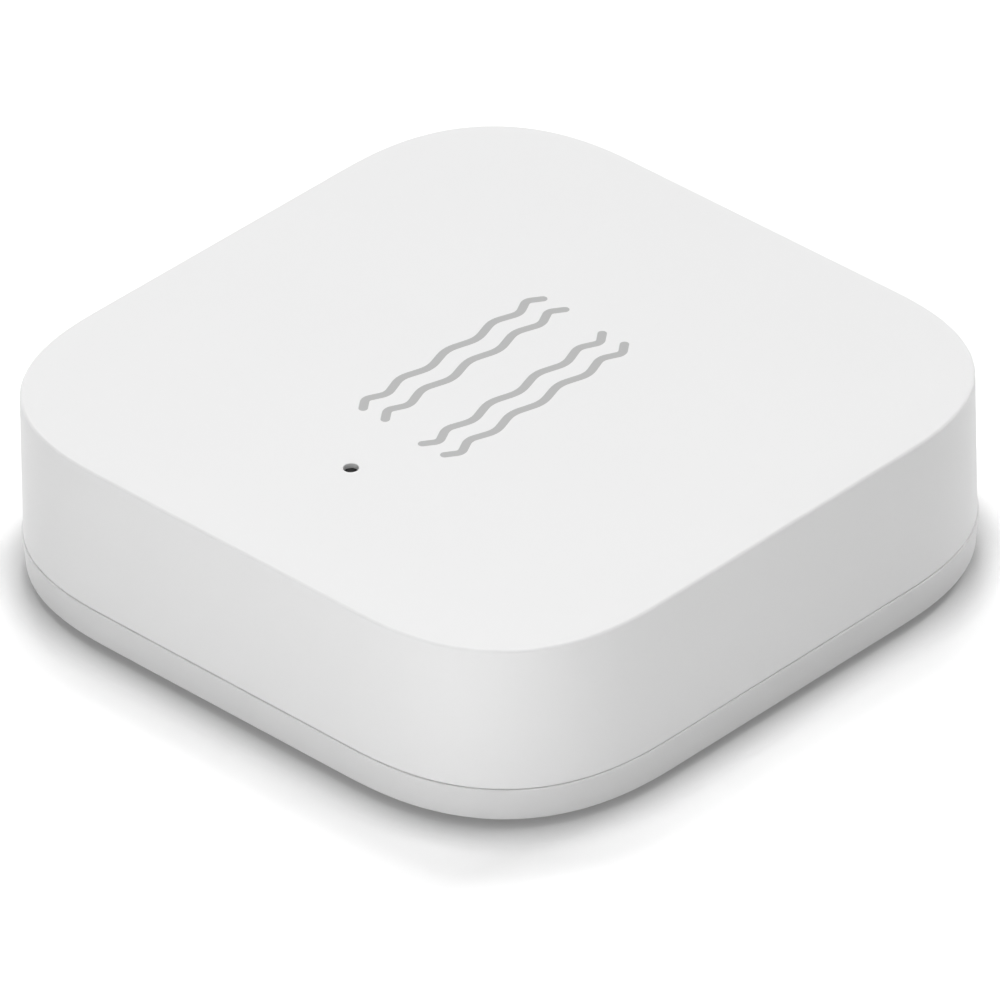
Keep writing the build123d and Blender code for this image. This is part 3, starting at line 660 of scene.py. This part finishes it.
for turn in quarter_turns:
    shape = bmesh.new()
    back_y = lip_half - lip_wall
    profile = ((back_y, sunk_z), (back_y, hook_top_z), (lip_half, hook_top_z),
               (lip_half + hook_nose_depth, hook_flat_z), (lip_half, hook_flat_z), (lip_half, sunk_z))
    corners = [shape.verts.new((-hook_width / 2, y, z)) for y, z in profile]
    face = shape.faces.new(corners)
    raised = bmesh.ops.extrude_face_region(shape, geom=[face])
    far = [item for item in raised["geom"] if isinstance(item, bmesh.types.BMVert)]
    bmesh.ops.translate(shape, verts=far, vec=(hook_width, 0, 0))
    bmesh.ops.transform(shape, matrix=turn, verts=shape.verts)
    join_on(base_cover, shape)
for turn in quarter_turns:
    shape = bmesh.new()
    rib_start = (cup_radius + cup_outer_radius) / 2
    made = block(shape, (rib_start, -rib_thickness / 2, sunk_z),
                 (boss_place * math.sqrt(2), rib_thickness / 2, inner_floor_z + rib_height))
    bmesh.ops.transform(shape, matrix=turn @ Matrix.Rotation(math.radians(45), 4, "Z"), verts=made["verts"])
    join_on(base_cover, shape)
    shape = bmesh.new()
    rod(shape, boss_radius, (boss_place, boss_place), sunk_z, board_low.z, sides=48)
    bmesh.ops.transform(shape, matrix=turn, verts=shape.verts)
    join_on(base_cover, shape)
    shape = bmesh.new()
    rod(shape, screw_radius, (boss_place, boss_place), pilot_z, board_low.z + overrun, sides=32)
    bmesh.ops.transform(shape, matrix=turn, verts=shape.verts)
    join_on(base_cover, shape, "DIFFERENCE")
for index in range(lug_count):
    shape = bmesh.new()
    locked_edge = lug_angle(index) + lug_degrees / 2 + lug_stop_gap_degrees
    open_edge = lug_angle(index) - door_turn_degrees - lug_degrees / 2 - lug_stop_gap_degrees
    stop_inner = lug_radius - lug_stop_overlap
    stop_outer = (lug_room_radius + lug_room_outer_radius) / 2
    stop_low = ledge_top_z - overrun / 10
    stop_high = lug_roof_z + overrun / 10
    sector(shape, stop_inner, stop_outer, stop_low, stop_high, locked_edge, locked_edge + lug_stop_degrees)
    sector(shape, stop_inner, stop_outer, stop_low, stop_high, open_edge - lug_stop_degrees, open_edge)
    join_on(base_cover, shape)
    shape = bmesh.new()
    middle = lug_angle(index) - door_turn_degrees
    half = lug_degrees / 2 + lug_play_degrees
    sector(shape, ledge_radius - overrun, notch_radius, ledge_z - overrun, ledge_top_z + overrun / 10,
           middle - half, middle + half)
    join_on(base_cover, shape, "DIFFERENCE")
print("base with its inner details has", len(base_cover.data.polygons), "faces")

# %% Contact slot and index marks
cup_slot_width = 5.0 * mm
index_radius = 15.7 * mm
index_mark_radius = 0.6 * mm
index_mark_depth = 0.15 * mm
index_ring_wall = 0.25 * mm
index_core_radius = index_mark_radius - index_ring_wall
shape = bmesh.new()
block(shape, (-cup_outer_radius - overrun / 2, -cup_slot_width / 2, lug_room_top_z),
      (-cup_radius + overrun, cup_slot_width / 2, cup_top_z + overrun))
join_on(base_cover, shape, "DIFFERENCE")
for degrees, is_ring in ((-90, False), (-90 - door_turn_degrees, True)):
    place = Matrix.Rotation(math.radians(degrees), 3, "Z") @ Vector((index_radius, 0, 0))
    shape = bmesh.new()
    rod(shape, index_mark_radius, place, foot_z - overrun, foot_z + index_mark_depth, sides=40)
    join_on(base_cover, shape, "DIFFERENCE")
    if is_ring:
        shape = bmesh.new()
        rod(shape, index_core_radius, place, foot_z, foot_z + index_mark_depth + overrun / 10, sides=40)
        join_on(base_cover, shape)
print("index marks at", round(index_radius / mm, 1), "mm from the middle")

# %% [markdown]
# ## The adhesive tape
# A foam tape fills the pocket under the base. It is die cut, so its walls are straight
# and its edges crisp, and a round hole lets the battery door turn.

# %% Adhesive tape
tape_edge_radius = 0.06 * mm
shape = bmesh.new()
tape_levels = [
    soft_square(shape, tape_high.x, tape_corner, tape_low.z),
    soft_square(shape, tape_high.x, tape_corner, tape_high.z),
    circle(shape, tape_hole_radius, tape_high.z),
    circle(shape, tape_hole_radius, tape_low.z),
]
bridge_all(shape, tape_levels, closed=True)
soften(shape, tape_levels[0], tape_edge_radius, steps=2)
adhesive_tape = finished_piece("foam_adhesive_tape", shape)

# %% [markdown]
# ## The battery door
# The door is a turned shape with a coin slot across it, so its section is spun round
# the middle. Three lugs stand out from the plug like short pieces of a ring. They slip
# through the notches in the base's ledge and turn in above it, as a bayonet does. The
# flange's lower edge is rounded by one point, 0.3 of the radius in from both faces.

# %% Battery door
door_flange_radius = door_high.y
door_flange_thickness = 0.8 * mm
door_plug_radius = 12.45 * mm
flange_top_z = door_low.z + door_flange_thickness
lug_z = ledge_top_z + lug_clearance
pad_low, pad_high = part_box("door_pad")
lug_overlap = 1.25 * mm
lug_root_radius = door_plug_radius - lug_overlap / 2
door_edge_radius = 0.12 * mm
edge_point = 0.3 * door_edge_radius
spin_steps = 128
section = (
    (0, door_low.z),
    (door_flange_radius - door_edge_radius, door_low.z),
    (door_flange_radius - edge_point, door_low.z + edge_point),
    (door_flange_radius, door_low.z + door_edge_radius),
    (door_flange_radius, flange_top_z),
    (door_plug_radius, flange_top_z),
    (door_plug_radius, door_high.z),
    (pad_high.x, door_high.z),
    (pad_high.x, pad_low.z),
    (0, pad_low.z),
)
shape = bmesh.new()
points = [shape.verts.new((radius, 0, z)) for radius, z in section]
edges = [shape.edges.new(pair) for pair in zip(points, points[1:])]
bmesh.ops.spin(
    shape, geom=points + edges, axis=(0, 0, 1), cent=(0, 0, 0), angle=math.radians(360),
    steps=spin_steps, use_merge=True)
battery_door = finished_piece("battery_door_shell", shape)
for index in range(lug_count):
    shape = bmesh.new()
    start = lug_angle(index) - lug_degrees / 2
    sector(shape, lug_root_radius, lug_radius, lug_z, door_high.z, start, start + lug_degrees)
    join_on(battery_door, shape)

coin_slot_length = 14.0 * mm
coin_slot_width = 2.0 * mm
coin_slot_depth = 1.0 * mm
coin_slot_flare = coin_slot_depth / 2
slot_mouth_length = coin_slot_length + coin_slot_flare
slot_mouth_width = coin_slot_width + coin_slot_flare
shape = bmesh.new()
slot_levels = [
    pill(shape, slot_mouth_length, slot_mouth_width, door_low.z - overrun / 8),
    pill(shape, coin_slot_length, coin_slot_width, door_low.z + overrun / 8),
    pill(shape, coin_slot_length, coin_slot_width, door_low.z + coin_slot_depth),
]
bridge_all(shape, slot_levels)
bmesh.ops.contextual_create(shape, geom=slot_levels[0])
bmesh.ops.contextual_create(shape, geom=slot_levels[-1])
join_on(battery_door, shape, "DIFFERENCE")

arrow_margin = 0.6 * mm
arrow_tip = door_flange_radius - arrow_margin
half_turn = Matrix.Rotation(math.radians(180), 4, "Z")
arrow_place = Matrix.Translation((0, index_mark_radius - arrow_tip, door_low.z - overrun))
shape = bmesh.new()
made = bmesh.ops.create_circle(shape, segments=3, radius=index_mark_radius, cap_ends=True)
bmesh.ops.transform(shape, verts=made["verts"], matrix=arrow_place @ half_turn)
raised = bmesh.ops.extrude_face_region(shape, geom=list(shape.faces))
upper = [item for item in raised["geom"] if isinstance(item, bmesh.types.BMVert)]
bmesh.ops.translate(shape, verts=upper, vec=(0, 0, overrun + index_mark_depth))
join_on(battery_door, shape, "DIFFERENCE")
print("door", round(2 * door_flange_radius / mm, 1), "mm across,", len(battery_door.data.polygons), "faces")

# %% [markdown]
# ## The reset button
# Behind the cover a flange keeps the button in, and a nub reaches the switch. The
# button is built lying on its back as pill outlines, then turned to face out of the
# side. Its front edge is rounded, because a finger finds it by that edge.

# %% Reset button
button_edge_radius = 0.15 * mm
flange_rim = 0.3 * mm
flange_thickness = 0.6 * mm
nub_radius = 0.7 * mm
nub_length = 0.8 * mm
button_back = button_low.y + nub_length
flange_length = button_length + 2 * flange_rim
flange_height = button_height + 2 * flange_rim
flange_front = button_back + flange_thickness
shape = bmesh.new()
levels = [
    pill(shape, 2 * nub_radius, 2 * nub_radius, button_low.y),
    pill(shape, 2 * nub_radius, 2 * nub_radius, button_back),
    pill(shape, flange_length, flange_height, button_back),
    pill(shape, flange_length, flange_height, flange_front),
    pill(shape, button_length, button_height, flange_front),
    pill(shape, button_length, button_height, button_high.y),
]
bridge_all(shape, levels)
bmesh.ops.contextual_create(shape, geom=levels[0])
bmesh.ops.contextual_create(shape, geom=levels[-1])
soften(shape, levels[-1], button_edge_radius, steps=4)
bmesh.ops.transform(shape, matrix=to_side, verts=shape.verts)
reset_button = finished_piece("reset_button_cap", shape)
print("button", round((button_high.y - button_low.y) / mm, 2), "mm deep")

# %% [markdown]
# ## How moulded plastic looks
# Nearly every piece here is injection moulded. The mould is spark eroded, which leaves
# an even grain of about a tenth of a millimetre on the plastic. From a step away it
# can't be seen, but it spreads the highlights, so the surface looks satin and not wet.
# The plastic is also never one exact white: it drifts a little over some millimetres
# where the flow cooled. One function makes all these finishes from noise in Object
# coordinates. The grain is drawn at 0.18 mm, coarser than the real 0.1 mm, because
# anything finer falls between the pixels.

# %% Moulded plastics
flow_size = 14 * mm
gloss_drift = 0.04


def moulded(name, light, dark, roughness, grain_size=0.18 * mm, grain_height=0.0012 * mm, **extras):
    """Plastic with a fine grain, a slight drift of colour and uneven gloss."""
    finish, tree = new_finish(name)
    place = add(tree, "TexCoord").outputs["Object"]
    flow = add(tree, "TexNoise", {"Scale": 1 / flow_size, "Detail": 1.5, "Roughness": 0.4}, {"Vector": place})
    grain = add(
        tree, "TexNoise", {"Scale": 1 / grain_size, "Detail": 2.0, "Roughness": 0.6}, {"Vector": place})
    shade = add(
        tree, "Mix", {"data_type": "RGBA", 6: colour(light), 7: colour(dark)}, {0: flow.outputs[0]})
    gloss = add(
        tree, "MapRange", {3: roughness - gloss_drift, 4: roughness + gloss_drift}, {0: grain.outputs[0]})
    bump = add(tree, "Bump", {"Strength": 1.0, "Distance": grain_height}, {"Height": grain.outputs[0]})
    surface = add(
        tree, "BsdfPrincipled", {"IOR": 1.53, **extras},
        {"Base Color": shade.outputs[2], "Roughness": gloss.outputs[0], "Normal": bump.outputs[0]})
    add(tree, "OutputMaterial", links={"Surface": surface.outputs[0]})
    return finish


finishes = {
    # ABS, moulded with a fine grain: a soft white whose highlights have no hard edge.
    "cover_white": moulded("abs_white_moulded_fine_grain", "#F0F0F0", "#EEEEEE", 0.50),
    # The same ABS, painted a shade greyer than the cover: painted shade for the skirt, which faces a little
    # downwards.
    "base_white": moulded("abs_white_base_painted_shade", "#E4E4E4", "#E1E1E1", 0.52),
    "door_white": moulded("abs_white_moulded_door", "#ECECEC", "#E9E9E9", 0.50),
    # The button is polished in the mould a little more, for the finger to find.
    "button_white": moulded("abs_white_moulded_button", "#EDEDED", "#EAEAEA", 0.42),
    # Grey ABS inlay, duller than the cover: reads as flat grey from every side.
    "mark_grey": moulded("abs_grey_moulded_inlay", "#B9B9B9", "#B4B4B4", 0.62),
    # Polypropylene, natural: slightly waxy and milky.
    "cell_plastic": moulded(
        "polypropylene_natural_gasket", "#E6E6DD", "#DDDDD2", 0.38, 0.3 * mm,
        **{"Subsurface Weight": 0.15, "Subsurface Scale": 0.3 * mm}),
    # Liquid crystal polymer, moulded: matt black with pale flow streaks.
    "switch_black": moulded(
        "liquid_crystal_polymer_moulded", "#262626", "#1C1C1C", 0.55, 0.12 * mm, 0.002 * mm),
    # Acetal, moulded: a smooth warm off-white that looks a little greasy.
    "plunger_plastic": moulded("acetal_moulded_plunger", "#DED8C8", "#D6CFBD", 0.34, 0.25 * mm, 0.0008 * mm),
    # Epoxy moulding compound: near black, dusty and rough from its mineral filler.
    "chip_black": moulded("epoxy_moulding_compound", "#2B2B2C", "#202021", 0.68, 0.09 * mm, 0.003 * mm),
    # Epoxy-moulded tantalum capacitor: mustard case with a chalky skin.
    "capacitor_tan": moulded(
        "epoxy_moulded_tantalum_case", "#C9A24A", "#B98F3C", 0.58, 0.12 * mm, 0.002 * mm),
}
print(len(finishes), "moulded finishes")

# %% [markdown]
# ## Foams and fibres
# The tape and the door's pad are foams. Their open skin is a field of tiny round
# cells, which Voronoi cells draw well: each cell's middle is a dent and its walls stand
# up, and each middle is painted darker as shade in the dent. The cell's separator is a
# fleece of short fibres, which is noise that has been stretched one way and then the
# other. Real foam cells are 0.1 to 0.2 mm wide. They are drawn at 0.3 mm, so that they
# still show in a close view.

# %% Foams and fleece
def foam(name, light, dark, cell_size, cell_depth, roughness):
    """Foam skin: dented cells, with painted shade that darkens each cell's middle."""
    finish, tree = new_finish(name)
    place = add(tree, "TexCoord").outputs["Object"]
    cells = add(tree, "TexVoronoi", {"Scale": 1 / cell_size, "Randomness": 1.0}, {"Vector": place})
    # Painted shade: the colour runs dark at each cell's dented middle and light at its walls.
    shade = add(
        tree, "Mix", {"data_type": "RGBA", 6: colour(dark), 7: colour(light)}, {0: cells.outputs["Distance"]})
    bump = add(tree, "Bump", {"Strength": 1.0, "Distance": cell_depth}, {"Height": cells.outputs["Distance"]})
    surface = add(
        tree, "BsdfPrincipled", {"IOR": 1.5, "Roughness": roughness},
        {"Base Color": shade.outputs[2], "Normal": bump.outputs[0]})
    add(tree, "OutputMaterial", links={"Surface": surface.outputs[0]})
    return finish


# Acrylic foam tape: off-white, dull, with a faint sheen of adhesive.
finishes["tape_foam"] = foam("acrylic_foam_tape", "#DEDEDA", "#CFCFCA", 0.3 * mm, 0.02 * mm, 0.6)
# Polyurethane foam, charcoal: soaks up light, its cells just visible.
finishes["pad_foam"] = foam("polyurethane_foam_charcoal", "#3A3A3A", "#232323", 0.35 * mm, 0.05 * mm, 0.9)

fibre_width = 0.06 * mm
fibre_length = 1.2 * mm
fleece_depth = 0.01 * mm
fleece, tree = new_finish("polypropylene_fleece_separator")
place = add(tree, "TexCoord").outputs["Object"]
strands = []
across, along = 1 / fibre_width, 1 / fibre_length
for stretch in ((across, along, across), (along, across, across)):
    stretched = add(tree, "Mapping", {"Scale": stretch}, {"Vector": place})
    fibres = add(tree, "TexNoise", {"Scale": 1.0, "Detail": 2.0}, {"Vector": stretched.outputs[0]})
    strands.append(fibres.outputs[0])
crossed = add(tree, "Math", {"operation": "MAXIMUM"}, {0: strands[0], 1: strands[1]})
shade = add(
    tree, "Mix", {"data_type": "RGBA", 6: colour("#D8D8D2"), 7: colour("#F1F1EC")}, {0: crossed.outputs[0]})
bump = add(tree, "Bump", {"Strength": 1.0, "Distance": fleece_depth}, {"Height": crossed.outputs[0]})
surface = add(
    tree, "BsdfPrincipled", {"Roughness": 0.85},
    {"Base Color": shade.outputs[2], "Normal": bump.outputs[0]})
add(tree, "OutputMaterial", links={"Surface": surface.outputs[0]})
finishes["cell_separator"] = fleece
print(len(finishes), "finishes with the foams and the fleece")

# %% [markdown]
# ## Metals
# A metal's look is its colour, its roughness and the direction of its fine lines. The
# coin cell's can is pressed and its face is brushed in rings. Contacts and shield are
# cut from rolled strip, so their lines run one way, and the screws have short ones.
# Lithium and the gold-flashed copper have no lines, only soft patches. A straight grain
# is noise stretched along one axis. Rings are noise read from the distance to the
# upright axis, which one Vector Math node works out once the height is set to zero.

# %% Metals
line_gloss_drift = 0.08


def metal(name, light, dark, roughness, stretch, line_depth, rings=False):
    """Metal with fine lines, straight or in rings, that vary its shade and its gloss."""
    finish, tree = new_finish(name)
    place = add(tree, "TexCoord").outputs["Object"]
    if rings:
        flat = add(tree, "VectorMath", {"operation": "MULTIPLY", 1: (1, 1, 0)}, {0: place})
        place = add(tree, "VectorMath", {"operation": "LENGTH"}, {0: flat.outputs[0]}).outputs["Value"]
    scaled = add(tree, "Mapping", {"Scale": stretch}, {"Vector": place})
    lines = add(
        tree, "TexNoise", {"Scale": 1.0, "Detail": 3.0, "Roughness": 0.6}, {"Vector": scaled.outputs[0]})
    shade = add(tree, "Mix", {"data_type": "RGBA", 6: colour(light), 7: colour(dark)}, {0: lines.outputs[0]})
    gloss = add(
        tree, "MapRange", {3: roughness - line_gloss_drift, 4: roughness + line_gloss_drift},
        {0: lines.outputs[0]})
    bump = add(tree, "Bump", {"Strength": 1.0, "Distance": line_depth}, {"Height": lines.outputs[0]})
    surface = add(
        tree, "BsdfPrincipled", {"Metallic": 1.0},
        {"Base Color": shade.outputs[2], "Roughness": gloss.outputs[0], "Normal": bump.outputs[0]})
    add(tree, "OutputMaterial", links={"Surface": surface.outputs[0]})
    return finish


def lines_along(length, width):
    """Scale for a straight grain: long along Y and narrow across it."""
    return (1 / width, 1 / length, 1 / width)


finishes.update({
    # Nickel-plated steel, pressed: bright grey, brushed in rings.
    "cell_steel": metal(
        "nickel_plated_steel_pressed", "#C9C8C4", "#B5B4B0", 0.30, (1 / (0.12 * mm),) * 3, 0.0015 * mm,
        rings=True),
    # Lithium foil: soft grey-white with dull patches of oxide.
    "cell_lithium": metal(
        "lithium_foil_pressed", "#C7C8CA", "#9FA2A6", 0.52, (1 / (1.5 * mm),) * 3, 0.01 * mm),
    # Tin-plated phosphor bronze strip: warm silver with rolling lines.
    "contact_steel": metal(
        "tin_plated_spring_bronze", "#CFCBC0", "#BCB6A8", 0.32, lines_along(4 * mm, 0.08 * mm), 0.001 * mm),
    # Zinc-plated steel, turned and cold headed.
    "screw_steel": metal(
        "zinc_plated_steel_turned", "#B9BCBF", "#A2A5A9", 0.36, lines_along(0.6 * mm, 0.08 * mm), 0.001 * mm),
    # Tin plate: nearly white, rolled lines, soft gloss.
    "shield_tin": metal(
        "tin_plated_steel_sheet", "#D3D2CE", "#C3C2BD", 0.34, lines_along(5 * mm, 0.1 * mm), 0.001 * mm),
    # Nickel-plated lid of the crystal, lapped one way.
    "crystal_metal": metal(
        "nickel_plated_lid_lapped", "#CDC9BF", "#BFBAAE", 0.28, lines_along(2 * mm, 0.05 * mm), 0.0008 * mm),
    # Copper under a thin gold flash: warm, with small patches.
    "copper": metal(
        "gold_flashed_copper", "#E3B45E", "#CE9A4C", 0.34, (1 / (0.3 * mm),) * 3, 0.001 * mm),
})
print(len(finishes), "finishes with the metals")

# %% [markdown]
# ## The circuit board
# The board is glass cloth in epoxy under green solder mask. The mask is glossy and thin
# enough for the cloth to print through: two crossed waves at the cloth's real spacing
# of 0.45 mm. A Wave texture at scale 1 repeats every 0.314 m, so its scale is that over
# the spacing. Patches of a lighter green are the copper areas under the mask, which stand
# up by the copper's 0.035 mm.

# %% Board
cloth_spacing = 0.45 * mm
wave_repeat = 0.314
thread_height = 0.004 * mm
copper_height = 0.035 * mm
copper_patch = 4 * mm
patch_edge_start, patch_edge_end = 0.04, 0.06
board_finish, tree = new_finish("glass_epoxy_green_solder_mask")
place = add(tree, "TexCoord").outputs["Object"]
threads = []
for direction in ("X", "Y"):
    wave = add(
        tree, "TexWave",
        {"wave_type": "BANDS", "bands_direction": direction, "Scale": wave_repeat / cloth_spacing,
         "Distortion": 0.4, "Detail": 1.0},
        {"Vector": place})
    threads.append(wave.outputs["Fac"])
cloth = add(tree, "Math", {"operation": "MULTIPLY"}, {0: threads[0], 1: threads[1]})
areas = add(
    tree, "TexVoronoi",
    {"feature": "DISTANCE_TO_EDGE", "distance": "CHEBYCHEV", "Scale": 1 / copper_patch},
    {"Vector": place})
pour = add(
    tree, "MapRange", {1: patch_edge_start, 2: patch_edge_end}, {0: areas.outputs["Distance"]})
shade = add(
    tree, "Mix", {"data_type": "RGBA", 6: colour("#0D5A33"), 7: colour("#157042")}, {0: pour.outputs[0]})
weave_bump = add(tree, "Bump", {"Strength": 0.5, "Distance": thread_height}, {"Height": cloth.outputs[0]})
pour_bump = add(
    tree, "Bump", {"Strength": 1.0, "Distance": copper_height},
    {"Height": pour.outputs[0], "Normal": weave_bump.outputs[0]})
surface = add(
    tree, "BsdfPrincipled", {"IOR": 1.55, "Roughness": 0.28},
    {"Base Color": shade.outputs[2], "Normal": pour_bump.outputs[0]})
add(tree, "OutputMaterial", links={"Surface": surface.outputs[0]})
finishes["board_green"] = board_finish

# %% [markdown]
# ## Powder, ceramic, silicone and smoked pieces
# The cell's pellet is pressed black powder, so it is grainy and dull. The small
# ceramic parts are speckled brown. The indicator has a drop of yellow phosphor in clear
# silicone. The light guide is dark smoked polycarbonate, which is why the pin hole in
# the top looks black until the indicator lights.

# %% Powder, ceramic, silicone and smoked finishes
finishes["cell_pellet"] = moulded(
    "manganese_dioxide_pressed_powder", "#242425", "#151516", 0.88, 0.15 * mm, 0.02 * mm)
finishes["passive_ceramic"] = moulded(
    "ceramic_fired_brown", "#8E765C", "#7A6248", 0.44, 0.07 * mm, 0.002 * mm)
finishes["led_clear"] = moulded(
    "silicone_with_yellow_phosphor", "#F2EFC2", "#E9E3A0", 0.22, 0.2 * mm, 0.0008 * mm,
    **{"Subsurface Weight": 0.3, "Subsurface Scale": 0.2 * mm})
finishes["guide_smoke"] = moulded(
    "polycarbonate_dark_smoke_moulded", "#161617", "#101011", 0.22, 0.3 * mm, 0.0005 * mm)
print(len(finishes), "finishes in all")

# %% [markdown]
# ## Putting the new shells in the frame
# Each new shell rides on the body that its CAD node rides on and stands for that node.
# The shading is finished here too: edges over 35 degrees stay crisp, and the large
# faces lead the shading next to the small radii, so that flat faces look flat.

# %% Shells into the frame
shells = (
    (top_cover, "housing", "top_cover", "cover_white"),
    (base_cover, "housing", "base_cover", "base_white"),
    (adhesive_tape, "housing", "adhesive_tape", "tape_foam"),
    (battery_door, "battery_door", "battery_door", "door_white"),
    (reset_button, "reset_button", "reset_button", "button_white"),
)
for piece, body, node, slot in shells:
    piece.data.materials.clear()
    piece.data.materials.append(finishes[slot])
    reshade(piece)
    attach(piece, body)
    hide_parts(node)

# %% [markdown]
# ## Finishes on the pieces that keep their CAD shape
# A CAD node comes with one material named after its slot in the record. That name picks
# the finish, and only the material slot changes: the mesh is left as it is.

# %% Finishes on the CAD nodes
for node in nodes.values():
    for slot in node.material_slots:
        if slot.material and slot.material.name in finishes:
            slot.material = finishes[slot.material.name]
print("finished", len(nodes), "CAD nodes")
